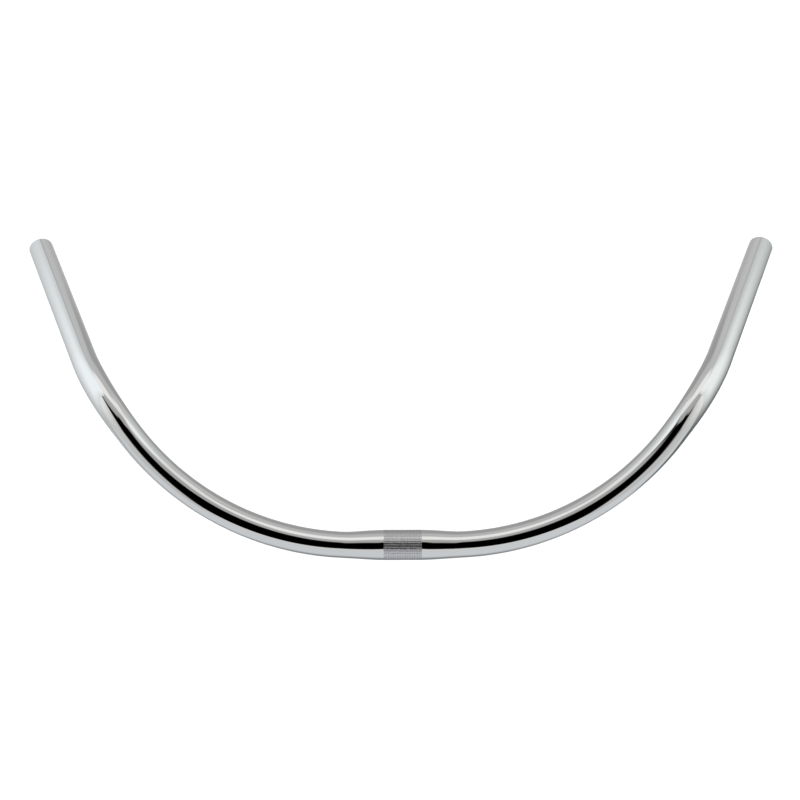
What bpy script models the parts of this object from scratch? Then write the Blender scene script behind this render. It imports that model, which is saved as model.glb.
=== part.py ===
"""A swept-back steel handlebar: one bent, plated tube with a knurled clamp barrel, and the liner inside it.

Metres, +Z up, as the bar sits on a machine. The origin is the middle of the clamp barrel, on the tube's axis.
+X is the rider's right, and +Y points back to the rider, which is where both grip ends point.
"""

import math

import bmesh
import bpy
from mathutils import Matrix, Vector

# The tube's section.
TUBE_RADIUS = 0.0111
WALL = 0.0016
END_CHAMFER = 0.0004

# The bend line of the right half, from the middle outwards. The left half mirrors it.
CENTRE_STRAIGHT = 0.040
SWEEP_RADIUS = 0.240
SWEEP_ANGLE = math.radians(52.5)
SWEEP_LEAN = math.radians(44.5)
LINK_STRAIGHT = 0.006
GRIP_BEND_RADIUS = 0.115
GRIP_SPLAY = math.radians(22.5)
GRIP_STRAIGHT = 0.170
BEND_FLATTENING = 0.00055

# The clamp barrel, swollen from the tube, and its knurl of straight ridges.
BARREL_RADIUS = 0.0127
BARREL_HALF = 0.0165
TAPER_END = 0.052
KNURL_HALF = 0.016
KNURL_RIDGES = 48
KNURL_RISE = 0.00015
KNURL_DEPTH = 0.00025

# The liner inside the barrel.
LINER_WALL = 0.0015
LINER_HALF = 0.036
FIT_GAP = 0.0003

# How finely curved shapes are divided.
SIDES = 32
TAPER_STEPS = 6
SWEEP_STEPS = 10
GRIP_BEND_STEPS = 9
LINER_STEPS = 12
SMOOTH_BELOW = math.radians(35.0)
MERGE_WITHIN = 0.00001

# Directions: along the clamp barrel, the way the main sweep curls, and the way a grip points.
AXLE = Vector((1.0, 0.0, 0.0))
SWEEP_SIDE = Vector((0.0, math.cos(SWEEP_LEAN), math.sin(SWEEP_LEAN)))
GRIP_AHEAD = Vector((math.sin(GRIP_SPLAY), math.cos(GRIP_SPLAY), 0.0))

# The main sweep turns about one axis, and the grip bend about another, which brings the tube level.
SWEEP_AXIS = AXLE.cross(SWEEP_SIDE)
SWEEP_AHEAD = AXLE * math.cos(SWEEP_ANGLE) + SWEEP_SIDE * math.sin(SWEEP_ANGLE)
GRIP_AXIS = SWEEP_AHEAD.cross(GRIP_AHEAD).normalized()
GRIP_BEND_ANGLE = SWEEP_AHEAD.angle(GRIP_AHEAD)

# Lengths along the bend line.
SWEEP_END = CENTRE_STRAIGHT + SWEEP_RADIUS * SWEEP_ANGLE
GRIP_BEND_START = SWEEP_END + LINK_STRAIGHT
GRIP_BEND_END = GRIP_BEND_START + GRIP_BEND_RADIUS * GRIP_BEND_ANGLE
TUBE_END = GRIP_BEND_END + GRIP_STRAIGHT


def clear_scene():
    for obj in list(bpy.data.objects):
        bpy.data.objects.remove(obj, do_unlink=True)


def metal(name, colour, roughness):
    """A metal finish with one colour and one roughness."""
    material = bpy.data.materials.new(name)
    material.use_nodes = True
    shader = material.node_tree.nodes["Principled BSDF"]
    shader.inputs["Base Color"].default_value = (*colour, 1.0)
    shader.inputs["Metallic"].default_value = 1.0
    shader.inputs["Roughness"].default_value = roughness
    return material


def outer_radius(along):
    """Outside radius of the plain tube: the barrel, then a smooth taper, then the tube."""
    share = min(max((along - BARREL_HALF) / (TAPER_END - BARREL_HALF), 0.0), 1.0)
    eased = share * share * (3.0 - 2.0 * share)
    return BARREL_RADIUS + (TUBE_RADIUS - BARREL_RADIUS) * eased


def bore_radius(along):
    return outer_radius(along) - WALL


def moved_on(place, distance):
    """A place moved straight ahead."""
    return Matrix.Translation(place.col[2].xyz * distance) @ place


def turned(place, axis, radius, angle):
    """A place carried round a bend about an axis that is square to its direction ahead."""
    centre = place.translation + axis.cross(place.col[2].xyz) * radius
    return Matrix.Translation(centre) @ Matrix.Rotation(angle, 4, axis) @ Matrix.Translation(-centre) @ place


def place_at(along):
    """The section's frame at a length along the bend line.

    Its columns are across, up, ahead and the point.
    """
    place = Matrix((SWEEP_SIDE, SWEEP_AXIS, AXLE)).transposed().to_4x4()
    place = moved_on(place, min(along, CENTRE_STRAIGHT))
    if along > CENTRE_STRAIGHT:
        arc = min(along, SWEEP_END) - CENTRE_STRAIGHT
        place = turned(place, SWEEP_AXIS, SWEEP_RADIUS, arc / SWEEP_RADIUS)
    if along > SWEEP_END:
        place = moved_on(place, min(along, GRIP_BEND_START) - SWEEP_END)
    if along > GRIP_BEND_START:
        arc = min(along, GRIP_BEND_END) - GRIP_BEND_START
        place = turned(place, GRIP_AXIS, GRIP_BEND_RADIUS, arc / GRIP_BEND_RADIUS)
    if along > GRIP_BEND_END:
        place = moved_on(place, along - GRIP_BEND_END)
    return place


def flattening_at(along):
    """How much wider than round the tube has become, which is most in the middle of the grip bend."""
    share = (along - GRIP_BEND_START) / (GRIP_BEND_END - GRIP_BEND_START)
    return BEND_FLATTENING * math.sin(math.pi * share) if 0.0 < share < 1.0 else 0.0


def section(along, radius):
    """The matrix that puts a unit circle round the bend line as the tube's section."""
    place = place_at(along)
    wider = flattening_at(along) / radius
    squeeze = Matrix.Scale(1.0 + wider, 3, GRIP_AXIS)
    squeeze @= Matrix.Scale(1.0 - wider / 2.0, 3, GRIP_AXIS.cross(place.col[2].xyz))
    return Matrix.Translation(place.translation) @ (squeeze @ place.to_3x3() * radius).to_4x4()


def even_steps(start, end, count):
    """Lengths after the start, up to and with the end."""
    return [start + (end - start) * step / count for step in range(1, count + 1)]


def ring_lengths():
    """Where the tube's rings lie, from the edge of the barrel to the end of the grip."""
    lengths = [BARREL_HALF]
    lengths += even_steps(BARREL_HALF, TAPER_END, TAPER_STEPS)
    lengths += even_steps(TAPER_END, SWEEP_END, SWEEP_STEPS)
    lengths += [GRIP_BEND_START]
    lengths += even_steps(GRIP_BEND_START, GRIP_BEND_END, GRIP_BEND_STEPS)
    lengths += [TUBE_END - END_CHAMFER]
    return lengths


def unit_circle():
    angles = [2.0 * math.pi * side / SIDES for side in range(SIDES)]
    return [Vector((math.cos(angle), math.sin(angle), 0.0)) for angle in angles]


def knurled_circle():
    """A section through the knurl, with a valley and a crest for each ridge."""
    points = []
    for ridge in range(KNURL_RIDGES):
        for half, radius in enumerate((BARREL_RADIUS - KNURL_DEPTH, BARREL_RADIUS + KNURL_RISE)):
            angle = 2.0 * math.pi * (ridge + half / 2.0) / KNURL_RIDGES
            points.append(Vector((radius * math.cos(angle), radius * math.sin(angle), 0.0)))
    return points


def new_ring(mesh, points):
    """A closed loop of edges through the points."""
    corners = [mesh.verts.new(point) for point in points]
    return [mesh.edges.new((corners[i - 1], corners[i])) for i in range(len(corners))]


def extruded_ring(mesh, ring, move):
    """A loop's edges extruded and moved, which gives a band of faces and the next loop."""
    made = bmesh.ops.extrude_edge_only(mesh, edges=ring)["geom"]
    corners = {item for item in made if isinstance(item, bmesh.types.BMVert)}
    bmesh.ops.transform(mesh, matrix=move, verts=list(corners))
    edges = [item for item in made if isinstance(item, bmesh.types.BMEdge)]
    return [edge for edge in edges if corners.issuperset(edge.verts)]


def finished(name, mesh, material):
    """One object from the mesh, with its faces outwards and its round faces smooth."""
    bmesh.ops.recalc_face_normals(mesh, faces=mesh.faces)
    data = bpy.data.meshes.new(name)
    mesh.to_mesh(data)
    mesh.free()
    data.shade_smooth()
    data.set_sharp_from_angle(angle=SMOOTH_BELOW)
    data.materials.append(material)
    obj = bpy.data.objects.new(name, data)
    bpy.context.scene.collection.objects.link(obj)
    return obj


def bar_tube():
    """The bent tube. The right half is built open at the middle, and a Mirror makes it whole."""
    mesh = bmesh.new()
    knurl_middle = new_ring(mesh, [place_at(0.0) @ point for point in knurled_circle()])
    knurl_end = extruded_ring(mesh, knurl_middle, Matrix.Translation(AXLE * KNURL_HALF))

    lengths = ring_lengths()
    sections = [section(along, outer_radius(along)) for along in lengths]
    sections.append(section(TUBE_END, outer_radius(TUBE_END) - END_CHAMFER))
    sections += [section(along, bore_radius(along)) for along in [TUBE_END, *reversed(lengths), 0.0]]
    barrel_edge = new_ring(mesh, [sections[0] @ point for point in unit_circle()])
    ring = barrel_edge
    for before, after in zip(sections, sections[1:]):
        ring = extruded_ring(mesh, ring, after @ before.inverted())
    bmesh.ops.bridge_loops(mesh, edges=knurl_end + barrel_edge)

    tube = finished("bar_tube", mesh, metal("plated_steel", (0.80, 0.81, 0.83), 0.06))
    mirror = tube.modifiers.new("left_half", "MIRROR")
    mirror.merge_threshold = MERGE_WITHIN
    return tube


def centre_liner():
    """The sleeve inside the barrel. It follows the bore into both tapers, which is what keeps it in place."""
    mesh = bmesh.new()
    lengths = [-LINER_HALF] + even_steps(-LINER_HALF, LINER_HALF, LINER_STEPS)
    outside = [Vector((x, bore_radius(abs(x)) - FIT_GAP, 0.0)) for x in lengths]
    inside = [point - Vector((0.0, LINER_WALL, 0.0)) for point in reversed(outside)]
    profile = new_ring(mesh, outside + inside)
    bmesh.ops.spin(
        mesh,
        geom=mesh.verts[:] + profile,
        axis=AXLE,
        angle=2.0 * math.pi,
        steps=SIDES,
        use_merge=True,
    )
    return finished("centre_liner", mesh, metal("bare_steel", (0.42, 0.41, 0.40), 0.45))


clear_scene()
bar_tube()
centre_liner()
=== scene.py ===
"""The looks of a swept-back, chrome-plated steel handlebar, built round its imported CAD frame.

Metres, +Z up. The origin is the middle of the clamp barrel. +X is the rider's right, and +Y points back
to the rider.
"""

import math

import bmesh
import bpy
from mathutils import Matrix, Vector


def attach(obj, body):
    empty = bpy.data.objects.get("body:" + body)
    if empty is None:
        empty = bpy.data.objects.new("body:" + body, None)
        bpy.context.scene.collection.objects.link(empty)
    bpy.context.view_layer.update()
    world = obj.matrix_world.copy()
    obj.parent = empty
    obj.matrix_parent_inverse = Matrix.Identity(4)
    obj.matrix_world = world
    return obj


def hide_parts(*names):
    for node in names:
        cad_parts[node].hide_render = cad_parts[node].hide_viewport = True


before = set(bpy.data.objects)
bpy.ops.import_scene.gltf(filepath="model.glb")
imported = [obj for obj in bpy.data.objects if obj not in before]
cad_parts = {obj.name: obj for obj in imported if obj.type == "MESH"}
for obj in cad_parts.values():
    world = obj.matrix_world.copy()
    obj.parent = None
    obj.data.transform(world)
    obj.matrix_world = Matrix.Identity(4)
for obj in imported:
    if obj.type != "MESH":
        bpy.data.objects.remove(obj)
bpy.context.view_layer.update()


# ---- The bar tube -----------------------------------------------------------------------------------
# One length of seamed steel tube, swaged out to a clamp barrel in the middle and knurled there between
# rollers. It is bent twice on each side round dies, cut off and deburred, polished, and then plated with
# bright nickel and a thin chrome on top. A stem clamps the knurl, and nothing else is fixed to the tube.

TUBE_RADIUS = 0.0111
WALL = 0.0016
END_CHAMFER = 0.0004
BARREL_RADIUS = 0.0127
BARREL_HALF = 0.0165
TAPER_END = 0.052
KNURL_HALF = 0.016
KNURL_RIDGES = 48
KNURL_RISE = 0.00005
KNURL_DEPTH = 0.00007

CENTRE_STRAIGHT = 0.040
SWEEP_RADIUS = 0.240
SWEEP_ANGLE = math.radians(52.5)
SWEEP_LEAN = math.radians(44.5)
LINK_STRAIGHT = 0.006
GRIP_BEND_RADIUS = 0.115
GRIP_SPLAY = math.radians(22.5)
GRIP_STRAIGHT = 0.170
BEND_FLATTENING = 0.00055

AXLE = Vector((1.0, 0.0, 0.0))
SWEEP_SIDE = Vector((0.0, math.cos(SWEEP_LEAN), math.sin(SWEEP_LEAN)))
GRIP_AHEAD = Vector((math.sin(GRIP_SPLAY), math.cos(GRIP_SPLAY), 0.0))
SWEEP_AXIS = AXLE.cross(SWEEP_SIDE)
SWEEP_AHEAD = AXLE * math.cos(SWEEP_ANGLE) + SWEEP_SIDE * math.sin(SWEEP_ANGLE)
GRIP_AXIS = SWEEP_AHEAD.cross(GRIP_AHEAD).normalized()
GRIP_BEND_ANGLE = SWEEP_AHEAD.angle(GRIP_AHEAD)

SWEEP_START_POINT = AXLE * CENTRE_STRAIGHT
SWEEP_END = CENTRE_STRAIGHT + SWEEP_RADIUS * SWEEP_ANGLE
SWEEP_END_POINT = (
    SWEEP_START_POINT
    + AXLE * (SWEEP_RADIUS * math.sin(SWEEP_ANGLE))
    + SWEEP_SIDE * (SWEEP_RADIUS * (1.0 - math.cos(SWEEP_ANGLE)))
)
GRIP_BEND_START = SWEEP_END + LINK_STRAIGHT
GRIP_BEND_START_POINT = SWEEP_END_POINT + SWEEP_AHEAD * LINK_STRAIGHT
GRIP_BEND_END = GRIP_BEND_START + GRIP_BEND_RADIUS * GRIP_BEND_ANGLE
TUBE_END = GRIP_BEND_END + GRIP_STRAIGHT

# Shallow rings, 2 mm apart, cut the ridges into short teeth, and the rollers pressed them unevenly. A groove
# takes a third of each pitch. The knurl's colour is painted darker in its grooves, as shade, and a ring gets
# half as much of that painted shade, and of the added roughness, as a groove between two ridges. Noise under
# the dent level presses the metal in, and noise over it raises it.
KNURL_GROOVE_SHARE = 1.0 / 3.0
KNURL_RING_PITCH = 0.002
KNURL_RING_DEPTH = 0.000025
KNURL_RING_SHADE = 0.5
KNURL_UNEVENNESS = 0.00013
KNURL_DENT_LEVEL = 0.6
KNURL_DENT_SIZE = 0.0010
KNURL_DENT_SEED = 7.0
POINTS_PER_TOOTH = 6

PLAIN_SIDES = 96
KNURLED_SIDES = KNURL_RIDGES * POINTS_PER_TOOTH
BEND_RING_EVERY = 0.0020
TAPER_RING_EVERY = 0.0015
GRIP_RING_EVERY = 0.010
BORE_RING_EVERY = 0.0040
SHARP_OVER = math.radians(28.0)
PLATED, BARE = 0, 1

# Lengths that differ by less than this are the same.
ROUNDING = 0.00001

# The tube is rolled from strip and welded. The weld leaves a low bead along one side of the bore.
SEAM_BEAD = 0.0002
SEAM_SIDE = 66
SEAM_TURN = 2.0 * math.pi * SEAM_SIDE / PLAIN_SIDES

# How far the plating creeps into the open ends of the bore.
PLATING_THROW = 0.022


def join(tree, feed, socket):
    """Links a node or a socket to the socket, or else sets the socket to a value."""
    if isinstance(feed, bpy.types.Node):
        feed = next(output for output in feed.outputs if output.enabled)
    if isinstance(feed, bpy.types.NodeSocket):
        tree.links.new(feed, socket)
    else:
        socket.default_value = feed


def add(tree, kind, *feeds, named=None, **settings):
    """Adds a node with its settings, and feeds its sockets in turn and then by name.

    The kind may be followed by the node's operation, as in "ShaderNodeMath ADD".
    """
    kind, _, operation = kind.partition(" ")
    made = tree.nodes.new(kind)
    if operation:
        made.operation = operation
    for setting, value in settings.items():
        setattr(made, setting, value)
    sockets = [socket for socket in made.inputs if socket.enabled]
    by_name = {socket.name: socket for socket in sockets}
    for socket, feed in zip(sockets, feeds):
        join(tree, feed, socket)
    for name, feed in (named or {}).items():
        join(tree, feed, by_name[name])
    return made


def linear(hex_colour):
    """A colour written as sRGB hex, in linear light."""
    channels = [int(hex_colour[start : start + 2], 16) / 255.0 for start in (1, 3, 5)]
    return (*((c / 12.92 if c <= 0.04045 else ((c + 0.055) / 1.055) ** 2.4) for c in channels), 1.0)


def spaced(start, end, every):
    """Even lengths from the start to the end, about that far apart, without the start itself."""
    count = max(1, round((end - start) / every))
    return [start + (end - start) * step / count for step in range(1, count + 1)]


def outer_radius(along):
    """Outside radius of the plain tube: the barrel, then a smooth taper, then the tube."""
    share = min(max((along - BARREL_HALF) / (TAPER_END - BARREL_HALF), 0.0), 1.0)
    return BARREL_RADIUS + (TUBE_RADIUS - BARREL_RADIUS) * share * share * (3.0 - 2.0 * share)


def joined_rings(mesh, ring, following):
    """Faces between two rings of points, of which one may have a whole number of times the other's points."""
    fewer = min(len(ring), len(following))

    def edge_points(points, side):
        """One ring's points along the edge of one face."""
        steps = len(points) // fewer
        return [points[i % len(points)] for i in range(side * steps, (side + 1) * steps + 1)]

    return [mesh.faces.new(edge_points(ring, i) + edge_points(following, i)[::-1]) for i in range(fewer)]


def straight_tube():
    """The tube before the rollers and the dies: straight, on the X axis, with its ends cut and deburred."""
    skin_half = [BARREL_HALF, *spaced(BARREL_HALF, TAPER_END, TAPER_RING_EVERY)]
    skin_half += spaced(TAPER_END, GRIP_BEND_END, BEND_RING_EVERY)
    skin_half += spaced(GRIP_BEND_END, TUBE_END - END_CHAMFER, GRIP_RING_EVERY)
    bore_half = [BARREL_HALF, *spaced(BARREL_HALF, GRIP_BEND_END, BORE_RING_EVERY)]
    bore_half += spaced(GRIP_BEND_END, TUBE_END - END_CHAMFER, GRIP_RING_EVERY)
    knurl = [-KNURL_HALF, *spaced(-KNURL_HALF, KNURL_HALF, KNURL_RING_PITCH / POINTS_PER_TOOTH)]

    skin = [(-along, outer_radius(along), PLAIN_SIDES) for along in reversed(skin_half)]
    skin += [(along, BARREL_RADIUS, KNURLED_SIDES) for along in knurl]
    skin += [(along, outer_radius(along), PLAIN_SIDES) for along in skin_half]
    end_skin = TUBE_RADIUS - END_CHAMFER
    end_bore = TUBE_RADIUS - WALL + END_CHAMFER
    bore = [(along, outer_radius(along) - WALL, PLAIN_SIDES) for along in reversed(bore_half)]
    bore += [(-along, outer_radius(along) - WALL, PLAIN_SIDES) for along in bore_half]
    right_cut = [(TUBE_END, end_skin, PLAIN_SIDES), (TUBE_END, end_bore, PLAIN_SIDES)]
    left_cut = [(-TUBE_END, end_bore, PLAIN_SIDES), (-TUBE_END, end_skin, PLAIN_SIDES)]

    mesh = bmesh.new()
    finish = mesh.faces.layers.int.new("finish")
    first_bore = len(skin) + len(right_cut)
    last_bore = first_bore + len(bore) - 1
    rings = []
    for along, radius, sides in skin + right_cut + bore + left_cut:
        in_bore = first_bore <= len(rings) <= last_bore
        ring = []
        for side in range(sides):
            turn = 2.0 * math.pi * side / sides
            reach = radius - SEAM_BEAD if in_bore and side == SEAM_SIDE else radius
            ring.append(mesh.verts.new((along, reach * math.cos(turn), reach * math.sin(turn))))
        rings.append(ring)
    for index, ring in enumerate(rings):
        for face in joined_rings(mesh, ring, rings[(index + 1) % len(rings)]):
            face[finish] = BARE if first_bore <= index < last_bore else PLATED
    bmesh.ops.recalc_face_normals(mesh, faces=mesh.faces)
    data = bpy.data.meshes.new("straight_tube")
    mesh.to_mesh(data)
    mesh.free()
    return data


def new_group(name, inputs, output):
    """An empty node group, and its inputs by name. Each input is its name, its socket type and its value."""
    tree = bpy.data.node_groups.new(name, "GeometryNodeTree")
    for title, kind, value in inputs:
        socket = tree.interface.new_socket(title, in_out="INPUT", socket_type=kind)
        if value is not None:
            socket.default_value = value
    tree.interface.new_socket(output[0], in_out="OUTPUT", socket_type=output[1])
    return tree, tree.nodes.new("NodeGroupInput").outputs


def die_bend():
    """A group that bends a tube lying straight ahead of a die round that die, and flattens it on the way."""
    tree, given = new_group(
        "bend_round_a_die",
        [
            ("Position", "NodeSocketVector", None),
            ("Along", "NodeSocketFloat", None),
            ("Bend starts", "NodeSocketFloat", 0.0),
            ("Die radius", "NodeSocketFloat", 0.1),
            ("Bend angle", "NodeSocketFloat", 1.0),
            ("Start point", "NodeSocketVector", None),
            ("Tube ahead", "NodeSocketVector", None),
            ("Die axis", "NodeSocketVector", None),
            ("Flattening", "NodeSocketFloat", 0.0),
            ("Tube radius", "NodeSocketFloat", 0.01),
        ],
        ("Position", "NodeSocketVector"),
    )
    whole_arc = add(tree, "ShaderNodeMath MULTIPLY", given["Die radius"], given["Bend angle"])
    past_start = add(tree, "ShaderNodeMath SUBTRACT", given["Along"], given["Bend starts"])
    from_start = add(tree, "ShaderNodeMath MAXIMUM", past_start, 0.0)
    arc = add(tree, "ShaderNodeMath MINIMUM", from_start, whole_arc)

    # The tube swells along the die's axis and thins by half as much towards the die, most in mid-bend.
    arc_share = add(tree, "ShaderNodeMath DIVIDE", arc, whole_arc)
    hump = add(tree, "ShaderNodeMath SINE", add(tree, "ShaderNodeMath MULTIPLY", arc_share, math.pi))
    widening = add(tree, "ShaderNodeMath MULTIPLY", hump, given["Flattening"])
    swell = add(tree, "ShaderNodeMath DIVIDE", widening, given["Tube radius"])
    thinning = add(tree, "ShaderNodeMath MULTIPLY", swell, -0.5)
    run = add(tree, "ShaderNodeVectorMath SCALE", given["Tube ahead"], past_start)
    on_axis = add(tree, "ShaderNodeVectorMath ADD", given["Start point"], run)
    offset = add(tree, "ShaderNodeVectorMath SUBTRACT", given["Position"], on_axis)
    across = add(tree, "ShaderNodeVectorMath PROJECT", offset, given["Die axis"])
    towards_die = add(tree, "ShaderNodeVectorMath SUBTRACT", offset, across)
    wider = add(tree, "ShaderNodeVectorMath SCALE", across, swell)
    thinner = add(tree, "ShaderNodeVectorMath SCALE", towards_die, thinning)
    squeeze = add(tree, "ShaderNodeVectorMath ADD", wider, thinner)
    flattened = add(tree, "ShaderNodeVectorMath ADD", given["Position"], squeeze)

    # What lies past the start of the bend is drawn back to it, and then turned about the die's centre.
    bent_length = add(tree, "ShaderNodeVectorMath SCALE", given["Tube ahead"], arc)
    drawn_back = add(tree, "ShaderNodeVectorMath SUBTRACT", flattened, bent_length)
    inwards = add(tree, "ShaderNodeVectorMath CROSS_PRODUCT", given["Die axis"], given["Tube ahead"])
    to_centre = add(tree, "ShaderNodeVectorMath SCALE", inwards, given["Die radius"])
    die_centre = add(tree, "ShaderNodeVectorMath ADD", given["Start point"], to_centre)
    turn = add(tree, "ShaderNodeMath DIVIDE", arc, given["Die radius"])
    feeds = (drawn_back, die_centre, given["Die axis"], turn)
    turned = add(tree, "ShaderNodeVectorRotate", *feeds, rotation_type="AXIS_ANGLE")
    add(tree, "NodeGroupOutput", turned)
    return tree


def rolled_knurl(tree, given, position, along):
    """The tube's points after knurling, how high each stands in the knurl, and whether it is in it."""
    x, y, z = add(tree, "ShaderNodeSeparateXYZ", position).outputs
    radial = add(tree, "ShaderNodeCombineXYZ", 0.0, y, z)
    outwards = add(tree, "ShaderNodeVectorMath NORMALIZE", radial)
    from_axis = add(tree, "ShaderNodeVectorMath LENGTH", radial).outputs["Value"]

    def grooved(pitches):
        """0 in the middle of each groove and 1 on each land, at a place counted in pitches."""
        wave = add(tree, "ShaderNodeMath PINGPONG", pitches, 0.5)
        steep = add(tree, "ShaderNodeMath MULTIPLY", wave, 2.0 / KNURL_GROOVE_SHARE)
        return add(tree, "ShaderNodeMath MINIMUM", steep, 1.0)

    full_turns = add(tree, "ShaderNodeMath DIVIDE", add(tree, "ShaderNodeMath ARCTAN2", z, y), 2.0 * math.pi)
    ridge = grooved(add(tree, "ShaderNodeMath MULTIPLY", full_turns, given["Ridges"]))
    ring = grooved(add(tree, "ShaderNodeMath DIVIDE", x, given["Ring pitch"]))

    # Only the skin of the barrel is knurled, and not the bore behind it.
    band_edge = add(tree, "ShaderNodeMath ADD", given["Knurl half length"], ROUNDING)
    in_band = add(tree, "ShaderNodeMath LESS_THAN", along, band_edge)
    half_wall = add(tree, "ShaderNodeMath MULTIPLY", given["Wall"], 0.5)
    mid_wall = add(tree, "ShaderNodeMath SUBTRACT", given["Barrel radius"], half_wall)
    on_skin = add(tree, "ShaderNodeMath GREATER_THAN", from_axis, mid_wall)
    knurled = add(tree, "ShaderNodeMath MULTIPLY", in_band, on_skin)

    # The ridges, the rings across them, and dents that press the metal in more than they raise it.
    full_height = add(tree, "ShaderNodeMath ADD", given["Ridge rise"], given["Ridge depth"])
    above_groove = add(tree, "ShaderNodeMath MULTIPLY", ridge, full_height)
    height = add(tree, "ShaderNodeMath SUBTRACT", above_groove, given["Ridge depth"])
    in_ring = add(tree, "ShaderNodeMath SUBTRACT", 1.0, ring)
    cut = add(tree, "ShaderNodeMath MULTIPLY", in_ring, given["Ring depth"])
    uneven = add(
        tree,
        "ShaderNodeTexNoise",
        noise_dimensions="4D",
        named={
            "Vector": position,
            "W": given["Unevenness seed"],
            "Scale": given["Unevenness scale"],
            "Detail": 1.0,
        },
    )
    press = add(tree, "ShaderNodeMath SUBTRACT", uneven, KNURL_DENT_LEVEL)
    dent = add(tree, "ShaderNodeMath MULTIPLY", press, given["Unevenness"])
    toothed = add(tree, "ShaderNodeMath ADD", add(tree, "ShaderNodeMath SUBTRACT", height, cut), dent)
    lift = add(tree, "ShaderNodeMath MULTIPLY", toothed, knurled)
    lifted = add(tree, "ShaderNodeVectorMath SCALE", outwards, lift)
    rolled = add(tree, "ShaderNodeVectorMath ADD", position, lifted)
    # The relief is 1 on a tooth, 0 in a groove and half in a ring's middle. The knurl's finish paints shade
    # from it.
    ring_shade = add(tree, "ShaderNodeMapRange", ring, 0.0, 1.0, KNURL_RING_SHADE, 1.0)
    relief = add(tree, "ShaderNodeMath MULTIPLY", ridge, ring_shade)
    return rolled, relief, knurled


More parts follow.
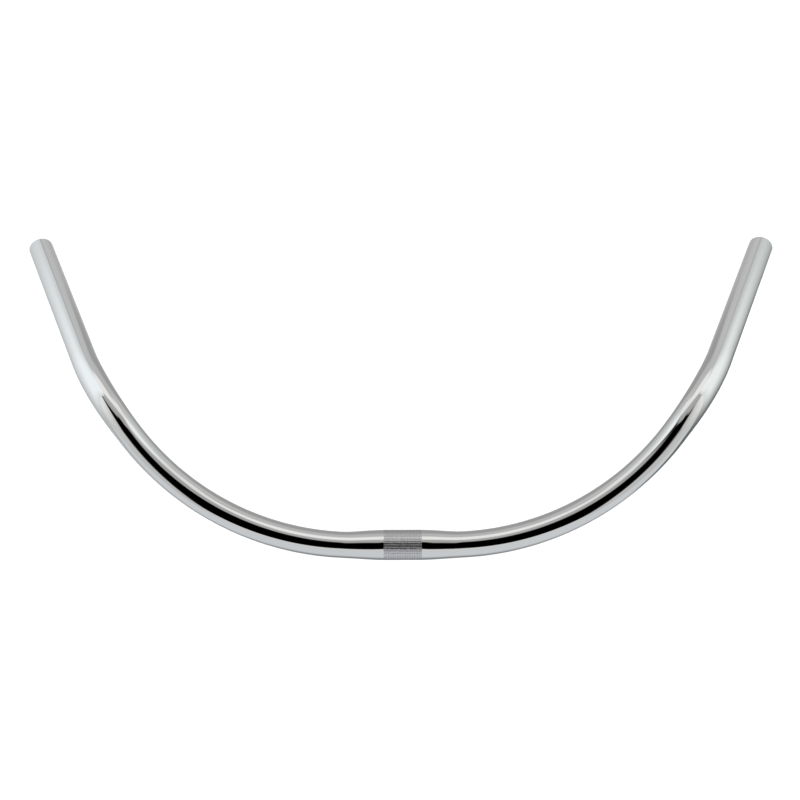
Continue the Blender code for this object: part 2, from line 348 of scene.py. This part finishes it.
def formed_bar(bend):
    """The tree that knurls a straight tube's barrel, bends both of its halves and gives it its finishes."""
    sizes = [
        ("Knurl half length", "NodeSocketFloat", KNURL_HALF),
        ("Ridges", "NodeSocketInt", KNURL_RIDGES),
        ("Ridge rise", "NodeSocketFloat", KNURL_RISE),
        ("Ridge depth", "NodeSocketFloat", KNURL_DEPTH),
        ("Ring pitch", "NodeSocketFloat", KNURL_RING_PITCH),
        ("Ring depth", "NodeSocketFloat", KNURL_RING_DEPTH),
        ("Unevenness", "NodeSocketFloat", KNURL_UNEVENNESS),
        ("Unevenness scale", "NodeSocketFloat", 1.0 / KNURL_DENT_SIZE),
        ("Unevenness seed", "NodeSocketFloat", KNURL_DENT_SEED),
        ("Barrel radius", "NodeSocketFloat", BARREL_RADIUS),
        ("Tube radius", "NodeSocketFloat", TUBE_RADIUS),
        ("Wall", "NodeSocketFloat", WALL),
        ("Sweep starts", "NodeSocketFloat", CENTRE_STRAIGHT),
        ("Sweep radius", "NodeSocketFloat", SWEEP_RADIUS),
        ("Sweep angle", "NodeSocketFloat", SWEEP_ANGLE),
        ("Sweep point", "NodeSocketVector", SWEEP_START_POINT),
        ("Sweep ahead", "NodeSocketVector", AXLE),
        ("Sweep axis", "NodeSocketVector", SWEEP_AXIS),
        ("Sweep flattening", "NodeSocketFloat", 0.0),
        ("Grip bend starts", "NodeSocketFloat", GRIP_BEND_START),
        ("Grip bend radius", "NodeSocketFloat", GRIP_BEND_RADIUS),
        ("Grip bend angle", "NodeSocketFloat", GRIP_BEND_ANGLE),
        ("Grip bend point", "NodeSocketVector", GRIP_BEND_START_POINT),
        ("Grip bend ahead", "NodeSocketVector", SWEEP_AHEAD),
        ("Grip bend axis", "NodeSocketVector", GRIP_AXIS),
        ("Grip bend flattening", "NodeSocketFloat", BEND_FLATTENING),
        ("Plated finish", "NodeSocketMaterial", None),
        ("Knurled finish", "NodeSocketMaterial", None),
        ("Bore finish", "NodeSocketMaterial", None),
    ]
    inputs = [("Geometry", "NodeSocketGeometry", None), *sizes]
    tree, given = new_group("form_handlebar", inputs, ("Geometry", "NodeSocketGeometry"))

    position = add(tree, "GeometryNodeInputPosition")
    x = add(tree, "ShaderNodeSeparateXYZ", position).outputs["X"]
    along = add(tree, "ShaderNodeMath ABSOLUTE", x)
    rolled, relief, knurled = rolled_knurl(tree, given, position, along)

    # Both halves are bent as the right half, and the left one is then turned over.
    _, rolled_y, rolled_z = add(tree, "ShaderNodeSeparateXYZ", rolled).outputs
    bent = add(tree, "ShaderNodeCombineXYZ", along, rolled_y, rolled_z)
    for die in ("Sweep", "Grip bend"):
        bent = add(
            tree,
            "GeometryNodeGroup",
            node_tree=bend,
            named={
                "Position": bent,
                "Along": along,
                "Bend starts": given[die + " starts"],
                "Die radius": given[die + " radius"],
                "Bend angle": given[die + " angle"],
                "Start point": given[die + " point"],
                "Tube ahead": given[die + " ahead"],
                "Die axis": given[die + " axis"],
                "Flattening": given[die + " flattening"],
                "Tube radius": given["Tube radius"],
            },
        )
    bent_x, bent_y, bent_z = add(tree, "ShaderNodeSeparateXYZ", bent).outputs
    sided_x = add(tree, "ShaderNodeMath MULTIPLY", bent_x, add(tree, "ShaderNodeMath SIGN", x))
    both_sides = add(tree, "ShaderNodeCombineXYZ", sided_x, bent_y, bent_z)

    # The finishes read where each point was on the straight tube, and how high it stands in the knurl, from
    # which the knurl's finish paints shade into its grooves and rings.
    attributes = [
        ("straight", position, "FLOAT_VECTOR", "POINT"),
        ("relief", relief, "FLOAT", "POINT"),
        ("in_knurl", knurled, "FLOAT", "FACE"),
    ]
    bar = given["Geometry"]
    for name, value, data_type, domain in attributes:
        bar = add(
            tree,
            "GeometryNodeStoreNamedAttribute",
            bar,
            named={"Name": name, "Value": value},
            data_type=data_type,
            domain=domain,
        )
    bar = add(tree, "GeometryNodeSetPosition", bar, named={"Position": both_sides})
    bar = add(tree, "GeometryNodeRealizeInstances", bar)

    finish = add(tree, "GeometryNodeInputNamedAttribute", "finish", data_type="INT")
    is_bare = add(tree, "FunctionNodeCompare EQUAL", finish, BARE, data_type="INT")
    in_knurl = add(tree, "GeometryNodeInputNamedAttribute", "in_knurl", data_type="FLOAT")
    is_knurl = add(tree, "FunctionNodeCompare GREATER_THAN", in_knurl, 0.5, data_type="FLOAT")
    for material, faces in [("Plated finish", True), ("Knurled finish", is_knurl), ("Bore finish", is_bare)]:
        chosen = {"Selection": faces, "Material": given[material]}
        bar = add(tree, "GeometryNodeSetMaterial", bar, named=chosen)
    add(tree, "NodeGroupOutput", bar)
    return tree


def metal(name):
    """A new metal, its node tree and its shader."""
    material = bpy.data.materials.new(name)
    material.use_nodes = True
    shader = material.node_tree.nodes["Principled BSDF"]
    shader.inputs["Metallic"].default_value = 1.0
    return material, material.node_tree, shader


def surface(tree, shader, colour, roughness, relief):
    """Feeds a metal's colour, its roughness and its fine relief to its shader."""
    join(tree, colour, shader.inputs["Base Color"])
    join(tree, roughness, shader.inputs["Roughness"])
    join(tree, relief, shader.inputs["Normal"])


def stretched(tree, place, along_mm, round_mm, **settings):
    """Noise whose blotches are about that long along the tube and that wide round it."""
    scale = (1000.0 / along_mm, 1000.0 / round_mm, 1000.0 / round_mm)
    scaled = add(tree, "ShaderNodeMapping", place, named={"Scale": scale})
    return add(tree, "ShaderNodeTexNoise", scaled, named={"Scale": 1.0, **settings})


def bright_chrome():
    """Chromium electroplated over buffed nickel: a cold, nearly perfect mirror.

    Up close it has a trace of haze where it was handled, and the reflections waver over marks that the dies
    and the buffing wheels left in the steel. They run along the tube, 30 mm by 5 mm and a few microns deep.
    """
    material, tree, shader = metal("bright_chrome_plate")
    place = add(tree, "ShaderNodeAttribute", attribute_name="straight").outputs["Vector"]
    handled = stretched(tree, place, along_mm=45.0, round_mm=9.0, Detail=5.0, Roughness=0.6)
    plate = add(tree, "ShaderNodeMix", handled, linear("#C2C2C2"), linear("#C9C9C9"), data_type="RGBA")
    haze = add(tree, "ShaderNodeMapRange", handled, 0.3, 0.7, 0.032, 0.062)
    marks = stretched(tree, place, along_mm=30.0, round_mm=5.0, Detail=2.0)
    waver = add(tree, "ShaderNodeBump", named={"Strength": 1.0, "Distance": 0.000006, "Height": marks})
    surface(tree, shader, plate, haze, waver)
    return material


def knurled_chrome():
    """The same plating over rolled teeth, which nobody buffs: satin on the lands and rougher in the grooves.

    Its colour holds painted shade: darker in the grooves and rings, and a little darker all over than the
    bright plating. The grain is the rollers' own tool marks, 0.1 mm on the real knurl and drawn at 0.4 mm to
    show.
    """
    material, tree, shader = metal("rolled_chrome_knurl")
    place = add(tree, "ShaderNodeAttribute", attribute_name="straight").outputs["Vector"]
    relief = add(tree, "ShaderNodeAttribute", attribute_name="relief").outputs["Fac"]
    grain = stretched(tree, place, along_mm=0.8, round_mm=0.4, Detail=3.0)
    # Painted shade: the colour darkens in the grooves and rings, mottled by the tool-mark grain, and the
    # roughness rises there too.
    groove_shade_and_grain = add(tree, "ShaderNodeMath MULTIPLY", relief, grain)
    shade = add(tree, "ShaderNodeMapRange", groove_shade_and_grain, 0.0, 0.6, 0.0, 1.0)
    plate = add(tree, "ShaderNodeMix", shade, linear("#929092"), linear("#BEBDC0"), data_type="RGBA")
    satin = add(tree, "ShaderNodeMapRange", groove_shade_and_grain, 0.0, 0.6, 0.28, 0.13)
    tooling = add(tree, "ShaderNodeBump", named={"Strength": 0.5, "Distance": 0.00004, "Height": grain})
    surface(tree, shader, plate, satin, tooling)
    return material


def bare_bore():
    """The inside of the tube: drawn steel under a dull grey oxide, with a blued line along the weld.

    The plating creeps in at the mouth and dies away over the first 20 mm, so the metal goes from bright to
    dull. The oxide scatters light as well as mirroring it, so the bore is half metal.
    """
    material, tree, shader = metal("drawn_steel_bore")
    shader.inputs["Metallic"].default_value = 0.5
    place = add(tree, "ShaderNodeAttribute", attribute_name="straight").outputs["Vector"]
    along, across, up = add(tree, "ShaderNodeSeparateXYZ", place).outputs
    streaks = stretched(tree, place, along_mm=125.0, round_mm=2.5, Detail=5.0)
    steel = add(tree, "ShaderNodeMix", streaks, linear("#6E6A66"), linear("#98958F"), data_type="RGBA")

    # The weld is in the lower half of the section, where the turn is counted below zero.
    turn = add(tree, "ShaderNodeMath ARCTAN2", up, across)
    off_weld = add(tree, "ShaderNodeMath SUBTRACT", turn, SEAM_TURN - 2.0 * math.pi)
    from_weld = add(tree, "ShaderNodeMath ABSOLUTE", off_weld)
    blueing = add(tree, "ShaderNodeMapRange", from_weld, 0.05, 0.32, 0.8, 0.0)
    welded = add(tree, "ShaderNodeMix", blueing, steel, linear("#45484F"), data_type="RGBA")

    from_middle = add(tree, "ShaderNodeMath ABSOLUTE", along)
    from_mouth = add(tree, "ShaderNodeMath SUBTRACT", TUBE_END, from_middle)
    ragged = stretched(tree, place, along_mm=6.0, round_mm=3.0, Detail=4.0)
    creep = add(tree, "ShaderNodeMath MULTIPLY", ragged, PLATING_THROW)
    past_plating = add(tree, "ShaderNodeMath SUBTRACT", from_mouth, creep)
    fade = PLATING_THROW / 2.0
    bare = add(tree, "ShaderNodeMapRange", past_plating, -fade, fade, 0.0, 1.0)
    colour = add(tree, "ShaderNodeMix", bare, linear("#B4B3B1"), welded, data_type="RGBA")
    oxide = add(tree, "ShaderNodeMapRange", streaks, 0.3, 0.7, 0.38, 0.6)
    dullness = add(tree, "ShaderNodeMix", bare, 0.14, oxide, data_type="FLOAT")
    draw_lines = add(tree, "ShaderNodeBump", named={"Strength": 0.6, "Distance": 0.00004, "Height": streaks})
    surface(tree, shader, colour, dullness, draw_lines)
    return material


def plain_object(name, data, tree, values):
    """An object of the mesh with the tree worked into it. Values go to the tree's inputs by name."""
    source = bpy.data.objects.new(name, data)
    bpy.context.scene.collection.objects.link(source)
    modifier = source.modifiers.new(tree.name, "NODES")
    modifier.node_group = tree
    for item in tree.interface.items_tree:
        if item.in_out == "INPUT" and item.name in values:
            modifier[item.identifier] = values[item.name]
    graph = bpy.context.evaluated_depsgraph_get()
    plain = bpy.data.meshes.new_from_object(source.evaluated_get(graph))
    source.modifiers.clear()
    source.data = plain
    plain.name = name
    plain.shade_smooth()
    plain.set_sharp_from_angle(angle=SHARP_OVER)
    return source


bar_tube = plain_object(
    "bar_tube_plated",
    straight_tube(),
    formed_bar(die_bend()),
    {"Plated finish": bright_chrome(), "Knurled finish": knurled_chrome(), "Bore finish": bare_bore()},
)
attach(bar_tube, "root")
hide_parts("bar_tube")


# ---- The centre liner --------------------------------------------------------------------------------
# A short sleeve of drawn steel inside the barrel, which backs the wall where the stem squeezes it. It is
# pushed in before the tube is swaged, so it follows the bore into both tapers and can't come out.

LINER_WALL = 0.0015
LINER_HALF = 0.036
LINER_CHAMFER = 0.0003
LINER_RING_EVERY = 0.003
FIT_GAP = 0.0003


def liner_sleeve():
    """The sleeve as one closed ring of metal, with broken edges at both ends."""

    def outside(along):
        return outer_radius(abs(along)) - WALL - FIT_GAP

    inner_end = LINER_HALF - LINER_CHAMFER
    stations = [-inner_end, *spaced(-inner_end, inner_end, LINER_RING_EVERY)]
    skin = [(along, outside(along)) for along in stations]
    bore = [(along, outside(along) - LINER_WALL) for along in reversed(stations)]
    end_skin = outside(LINER_HALF) - LINER_CHAMFER
    end_bore = outside(LINER_HALF) - LINER_WALL + LINER_CHAMFER
    right_cut = [(LINER_HALF, end_skin), (LINER_HALF, end_bore)]
    left_cut = [(-LINER_HALF, end_bore), (-LINER_HALF, end_skin)]

    mesh = bmesh.new()
    rings = []
    for along, radius in skin + right_cut + bore + left_cut:
        turns = [2.0 * math.pi * side / PLAIN_SIDES for side in range(PLAIN_SIDES)]
        rings.append([mesh.verts.new((along, radius * math.cos(a), radius * math.sin(a))) for a in turns])
    for index, ring in enumerate(rings):
        joined_rings(mesh, ring, rings[(index + 1) % len(rings)])
    bmesh.ops.recalc_face_normals(mesh, faces=mesh.faces)
    data = bpy.data.meshes.new("centre_liner_sleeve")
    mesh.to_mesh(data)
    mesh.free()
    data.shade_smooth()
    data.set_sharp_from_angle(angle=SHARP_OVER)
    return data


def drawn_liner():
    """Cold-drawn steel, unplated: dull grey with fine draw lines along it and brown bloom where oil dried."""
    material, tree, shader = metal("drawn_steel_liner")
    place = add(tree, "ShaderNodeTexCoord").outputs["Object"]
    lines = stretched(tree, place, along_mm=40.0, round_mm=0.6, Detail=4.0)
    bloom = stretched(tree, place, along_mm=9.0, round_mm=6.0, Detail=5.0)
    steel = add(tree, "ShaderNodeMix", lines, linear("#6A6866"), linear("#8E8C89"), data_type="RGBA")
    stain = add(tree, "ShaderNodeMapRange", bloom, 0.52, 0.72, 0.0, 0.55)
    stained = add(tree, "ShaderNodeMix", stain, steel, linear("#6B5B4B"), data_type="RGBA")
    dullness = add(tree, "ShaderNodeMapRange", bloom, 0.3, 0.7, 0.36, 0.58)
    draw_lines = add(tree, "ShaderNodeBump", named={"Strength": 0.5, "Distance": 0.00003, "Height": lines})
    surface(tree, shader, stained, dullness, draw_lines)
    return material


sleeve = liner_sleeve()
sleeve.materials.append(drawn_liner())
liner = bpy.data.objects.new("centre_liner_drawn", sleeve)
bpy.context.scene.collection.objects.link(liner)
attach(liner, "root")
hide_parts("centre_liner")


# ---- The studio -------------------------------------------------------------------------------------
# The bar hangs in a white light tent, over a wide pale table and under a lamp that is a little behind it.
# The tent is open in front, and the room beyond the opening, above the table, is dark.

FLOOR_DROP = 0.45
FLOOR_HALF = 30.0
TENT_HALF = 0.438
TENT_BACK = 0.62
TENT_TOP = 1.1
TENT_BOTTOM = -0.30
BACK_MIDDLE = 0.12
SILL_HEIGHT = 0.29
SILL_SLOPE = 0.42

# How strong the light from each part of the room is, where 1 is the lit white backdrop.
ROOM = 0.8
ROOM_LOW = 0.62
UNDER_BAR = 0.34
TABLE_FRONT_MIDDLE = 0.36
TABLE_FRONT = 1.05
TABLE_SIDE = 0.98
TABLE_BACK = 0.62
TABLE_EDGE_MIDDLE = 1.03
TABLE_EDGE = 0.86
ROOF_FLAP_LOW = 0.56
ROOF_FLAP_HIGH = 0.72
SIDES_LOW = 0.82
SIDES_MORE = 0.70
ROOF_LAMP = 1.38

CAMERA_LENS_MM = 63.88
CAMERA_SENSOR_MM = 36.0
CAMERA_PLACE = (-0.00528, -0.78900, 0.91239)
CAMERA_TURN = (46.680, 0.014, -0.233)
CAMERA_SEES_TO = 200.0


def faded(tree, value, low, high, at_low, at_high):
    """A strength that changes smoothly from one to another as the value goes from low to high."""
    return add(tree, "ShaderNodeMapRange", value, low, high, at_low, at_high, interpolation_type="SMOOTHSTEP")


def studio_light():
    """A world that is the studio: what a polished surface sees in each direction.

    Heights are degrees above the horizon, and front turns are degrees to either side of straight in front.
    """
    world = bpy.data.worlds.new("soft_studio")
    world.use_nodes = True
    bpy.context.scene.world = world
    tree = world.node_tree
    background = tree.nodes["Background"]
    seen = add(tree, "ShaderNodeTexCoord").outputs["Generated"]
    x, y, z = add(tree, "ShaderNodeSeparateXYZ", seen).outputs

    def above(value, limit, fade):
        """1 above the limit and 0 below it, with an edge that fades."""
        return faded(tree, value, limit - fade, limit + fade, 0.0, 1.0)

    def below(value, limit, fade):
        """1 below the limit and 0 above it, with an edge that fades."""
        return faded(tree, value, limit - fade, limit + fade, 1.0, 0.0)

    def over(light, strength, *masks):
        """The light with a patch of another strength laid over it, where all the masks meet."""
        patch = masks[0]
        for mask in masks[1:]:
            patch = add(tree, "ShaderNodeMath MULTIPLY", patch, mask)
        return add(tree, "ShaderNodeMix", patch, light, strength, data_type="FLOAT")

    out = add(tree, "ShaderNodeMath ABSOLUTE", x)
    ahead = add(tree, "ShaderNodeMath MULTIPLY", y, -1.0)
    height = add(tree, "ShaderNodeMath DEGREES", add(tree, "ShaderNodeMath ARCSINE", z))
    front_turn = add(tree, "ShaderNodeMath DEGREES", add(tree, "ShaderNodeMath ARCTAN2", out, ahead))

    # The room is a little darker round the horizon.
    light = over(ROOM, ROOM_LOW, above(height, -25.0, 8.0), below(height, 22.0, 8.0))

    # The table is brightest in front and at its near edge, and darkens right under the bar.
    front = faded(tree, height, -88.0, -50.0, TABLE_FRONT_MIDDLE, TABLE_FRONT)
    side = faded(tree, height, -88.0, -20.0, UNDER_BAR, TABLE_SIDE)
    back = faded(tree, height, -88.0, -48.0, UNDER_BAR, TABLE_BACK)
    to_side = faded(tree, front_turn, 60.0, 110.0, 0.0, 1.0)
    table = add(tree, "ShaderNodeMix", to_side, front, side, data_type="FLOAT")
    table = over(table, back, above(front_turn, 122.0, 18.0))
    light = over(light, table, below(height, -2.0, 5.0))
    edge = faded(tree, front_turn, 22.0, 38.0, TABLE_EDGE_MIDDLE, TABLE_EDGE)
    at_edge = above(height, -4.0, 4.0), below(height, 30.0, 4.0)
    light = over(light, edge, *at_edge, below(front_turn, 60.0, 15.0))

    # Over the front of the table is the tent's roof flap, and to each side a wall that brightens outwards.
    flap = faded(tree, height, 60.0, 88.0, ROOF_FLAP_LOW, ROOF_FLAP_HIGH)
    light = over(light, flap, above(height, 58.0, 3.0), below(front_turn, 80.0, 12.0))
    outwards = faded(tree, front_turn, 28.0, 82.0, 0.0, SIDES_MORE)
    upwards = faded(tree, height, -16.0, 34.0, 0.15, 1.0)
    brighter = add(tree, "ShaderNodeMath MULTIPLY", outwards, upwards)
    sides = add(tree, "ShaderNodeMath ADD", brighter, SIDES_LOW)
    at_sides = above(front_turn, 30.0, 7.0), below(front_turn, 128.0, 7.0)
    light = over(light, sides, above(height, -8.0, 6.0), below(height, 62.0, 6.0), *at_sides)

    # A lamp shines through the roof, from above the bar to a little behind it.
    light = over(light, ROOF_LAMP, above(height, 64.5, 4.0), above(front_turn, 88.0, 12.0))

    # The dark opening. Its sill falls away to both sides, its roof dips to the right, and its posts lean.
    # They are laid out by the x and z of the direction.
    sill_drop = add(tree, "ShaderNodeMath MULTIPLY", out, SILL_SLOPE)
    over_sill = above(add(tree, "ShaderNodeMath ADD", z, sill_drop), SILL_HEIGHT, 0.025)
    roof_left = faded(tree, x, -0.08, 0.01, 0.907, 0.937)
    roof_dip = faded(tree, x, 0.04, 0.15, 0.0, 0.05)
    roof = add(tree, "ShaderNodeMath SUBTRACT", roof_left, roof_dip)
    under_roof = above(add(tree, "ShaderNodeMath SUBTRACT", roof, z), 0.0, 0.014)
    left_post = faded(tree, z, 0.40, 0.55, -0.47, -0.44)
    right_post = faded(tree, z, 0.48, 0.66, 0.42, 0.33)
    past_left = above(add(tree, "ShaderNodeMath SUBTRACT", x, left_post), 0.0, 0.05)
    past_right = above(add(tree, "ShaderNodeMath SUBTRACT", right_post, x), 0.0, 0.05)
    light = over(light, 0.0, past_left, past_right, over_sill, under_roof, below(y, 0.0, 0.05))

    # The camera itself sees a plain white backdrop.
    seen_straight = add(tree, "ShaderNodeLightPath").outputs["Is Camera Ray"]
    strength = over(light, 1.0, seen_straight)
    off_table = faded(tree, z, -0.1, 0.05, 0.0, 1.0)
    tint = add(tree, "ShaderNodeMix", off_table, linear("#F8FCFF"), linear("#FFFFFD"), data_type="RGBA")
    colour = add(tree, "ShaderNodeMix", seen_straight, tint, linear("#FFFFFF"), data_type="RGBA")
    join(tree, strength, background.inputs["Strength"])
    join(tree, colour, background.inputs["Color"])


def tent_sheet(name, corners, colour, level):
    """One lit wall of the tent, seen only in the polish. The level makes its strength out of x, y and z."""
    data = bpy.data.meshes.new(name)
    data.from_pydata(corners, [], [(0, 1, 2, 3)])
    material = bpy.data.materials.new(name + "_fabric")
    material.use_nodes = True
    tree = material.node_tree
    tree.nodes.remove(tree.nodes["Principled BSDF"])
    place = add(tree, "ShaderNodeTexCoord").outputs["Object"]
    strength = level(tree, *add(tree, "ShaderNodeSeparateXYZ", place).outputs)
    glow = add(tree, "ShaderNodeEmission", linear(colour), strength)
    join(tree, glow, tree.nodes["Material Output"].inputs["Surface"])
    data.materials.append(material)
    wall = bpy.data.objects.new(name, data)
    bpy.context.scene.collection.objects.link(wall)
    wall.visible_camera = False
    wall.visible_diffuse = False
    wall.visible_shadow = False


def side_sheet(side, name, colour, at_table, at_top, at_back):
    """A side wall, with its strength beside the table and high up, and the share of it left at the back."""

    def level(tree, _, y, z):
        upright = faded(tree, z, -0.08, 0.22, at_table, at_top)
        front = faded(tree, y, 0.0, 0.06, 0.8, 1.0)
        back = faded(tree, y, 0.14, 0.48, 1.0, at_back)
        ends = add(tree, "ShaderNodeMath MULTIPLY", front, back)
        return add(tree, "ShaderNodeMath MULTIPLY", upright, ends)

    outline = ((0.0, TENT_BOTTOM), (TENT_BACK, TENT_BOTTOM), (TENT_BACK, TENT_TOP), (0.0, TENT_TOP))
    tent_sheet(name, [(side * TENT_HALF, y, z) for y, z in outline], colour, level)


def back_sheet():
    """The back wall, which is dimmer low in its middle and at its joins with the side walls."""

    def level(tree, x, _, z):
        out = add(tree, "ShaderNodeMath ABSOLUTE", x)
        low = faded(tree, out, BACK_MIDDLE, 0.22, 0.54, 0.65)
        high = faded(tree, out, BACK_MIDDLE, 0.30, 0.80, 0.85)
        dip = faded(tree, out, BACK_MIDDLE, 0.22, 0.0, 0.27)
        over_dip = faded(tree, add(tree, "ShaderNodeMath ADD", z, dip), 0.27, 0.55, 0.0, 1.0)
        upright = add(tree, "ShaderNodeMix", over_dip, low, high, data_type="FLOAT")
        seam = faded(tree, out, 0.35, 0.41, 1.0, 0.84)
        return add(tree, "ShaderNodeMath MULTIPLY", upright, seam)

    outline = ((-1.0, TENT_BOTTOM), (1.0, TENT_BOTTOM), (1.0, TENT_TOP), (-1.0, TENT_TOP))
    tent_sheet("tent_back", [(side * TENT_HALF, TENT_BACK, z) for side, z in outline], "#FEFFFE", level)


def pale_floor():
    """The table: a plain pale sheet under the bar, which the polish doesn't mirror a second time."""
    mesh = bmesh.new()
    bmesh.ops.create_grid(mesh, x_segments=1, y_segments=1, size=FLOOR_HALF)
    data = bpy.data.meshes.new("pale_table")
    mesh.to_mesh(data)
    mesh.free()
    data.transform(Matrix.Translation((0.0, 0.0, -FLOOR_DROP)))
    material = bpy.data.materials.new("pale_table_paper")
    material.use_nodes = True
    shader = material.node_tree.nodes["Principled BSDF"]
    shader.inputs["Base Color"].default_value = linear("#F4F5F6")
    shader.inputs["Roughness"].default_value = 0.9
    data.materials.append(material)
    floor = bpy.data.objects.new("pale_table", data)
    bpy.context.scene.collection.objects.link(floor)
    floor.visible_glossy = False
    return floor


def table_lamp():
    """A very broad lamp straight overhead, for the table and the dull finishes only."""
    light = bpy.data.lights.new("table_lamp", "SUN")
    light.energy = 1.0
    light.angle = math.radians(100.0)
    lamp = bpy.data.objects.new("table_lamp", light)
    bpy.context.scene.collection.objects.link(lamp)
    lamp.visible_glossy = False


def long_lens_camera():
    """The camera, 1.2 m away, looking down on the bar from in front."""
    lens = bpy.data.cameras.new("studio_camera")
    lens.lens = CAMERA_LENS_MM
    lens.sensor_width = CAMERA_SENSOR_MM
    lens.clip_end = CAMERA_SEES_TO
    camera = bpy.data.objects.new("studio_camera", lens)
    bpy.context.scene.collection.objects.link(camera)
    camera.location = CAMERA_PLACE
    camera.rotation_euler = [math.radians(turn) for turn in CAMERA_TURN]
    bpy.context.scene.camera = camera


studio_light()
side_sheet(-1.0, "tent_left", "#F8FDFF", at_table=0.78, at_top=1.58, at_back=0.70)
side_sheet(1.0, "tent_right", "#FAFFFE", at_table=0.24, at_top=1.50, at_back=0.64)
back_sheet()
pale_floor()
table_lamp()
long_lens_camera()
bpy.context.scene.view_settings.view_transform = "Standard"
